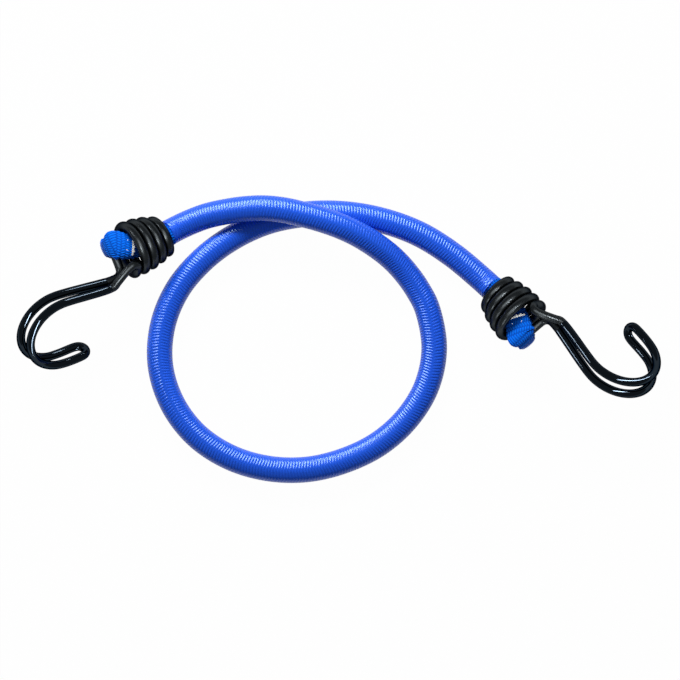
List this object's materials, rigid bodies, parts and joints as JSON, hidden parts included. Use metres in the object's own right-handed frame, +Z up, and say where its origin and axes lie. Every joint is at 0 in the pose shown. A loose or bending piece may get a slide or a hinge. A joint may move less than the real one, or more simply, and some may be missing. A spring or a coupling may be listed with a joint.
{
  "type": "bungee cord",
  "caption": "Braided elastic cord lying in a crossed loop, with a coiled twin-wire hook gripping the folded cord at each end.",
  "frame": {"origin": "middle of the two hooks and folded ends in plan, on the floor the cord lies on", "axes": "+X from the left hook to the right hook, +Y away from the loop, +Z up"},
  "size_m": [0.2577, 0.1148, 0.0321],
  "materials": {
    "sheath": "braided yarn, fine cross ridges",
    "core": "pale latex",
    "wire": "black lacquer, glossy on the hook and satin on the coil"
  },
  "bodies": {
    "loop": {"loop_sheath": "sheath", "loop_strand_1": "core", "loop_strand_2": "core", "loop_strand_3": "core", "loop_strand_4": "core", "loop_strand_5": "core", "loop_strand_6": "core", "loop_strand_7": "core"},
    "left_run": {"left_run_sheath": "sheath", "left_run_strand_1": "core", "left_run_strand_2": "core", "left_run_strand_3": "core", "left_run_strand_4": "core", "left_run_strand_5": "core", "left_run_strand_6": "core", "left_run_strand_7": "core"},
    "left_hook": {"left_hook": "wire", "left_bight_sheath": "sheath", "left_bight_strand_1": "core", "left_bight_strand_2": "core", "left_bight_strand_3": "core", "left_bight_strand_4": "core", "left_bight_strand_5": "core", "left_bight_strand_6": "core", "left_bight_strand_7": "core"},
    "right_run": {"right_run_sheath": "sheath", "right_run_strand_1": "core", "right_run_strand_2": "core", "right_run_strand_3": "core", "right_run_strand_4": "core", "right_run_strand_5": "core", "right_run_strand_6": "core", "right_run_strand_7": "core"},
    "right_hook": {"right_hook": "wire", "right_bight_sheath": "sheath", "right_bight_strand_1": "core", "right_bight_strand_2": "core", "right_bight_strand_3": "core", "right_bight_strand_4": "core", "right_bight_strand_5": "core", "right_bight_strand_6": "core", "right_bight_strand_7": "core"}
  },
  "joints": [
    {"name": "left_stretch", "type": "slide", "parent": "loop", "child": "left_run", "axis": [-0.9295, -0.3688, 0], "range_m": [0, 0.022], "stiffness_N_per_m": 400, "deforming": ["left_run_sheath", "left_run_strand_1", "left_run_strand_2", "left_run_strand_3", "left_run_strand_4", "left_run_strand_5", "left_run_strand_6", "left_run_strand_7"]},
    {"name": "left_twist", "type": "hinge", "parent": "left_run", "child": "left_hook", "pos_m": [-0.06765, 0.0299, 0.00713], "axis": [-0.8725, -0.349, 0.342], "range_deg": [-90, 90], "stiffness_Nm_per_rad": 0.02},
    {"name": "right_stretch", "type": "slide", "parent": "loop", "child": "right_run", "axis": [0.8102, -0.5861, 0], "range_m": [0, 0.034], "stiffness_N_per_m": 400, "deforming": ["right_run_sheath", "right_run_strand_1", "right_run_strand_2", "right_run_strand_3", "right_run_strand_4", "right_run_strand_5", "right_run_strand_6", "right_run_strand_7"]},
    {"name": "right_twist", "type": "hinge", "parent": "right_run", "child": "right_hook", "pos_m": [0.06074, 0.0088, 0.00713], "axis": [0.6177, -0.7081, 0.342], "range_deg": [-90, 90], "stiffness_Nm_per_rad": 0.02}
  ]
}
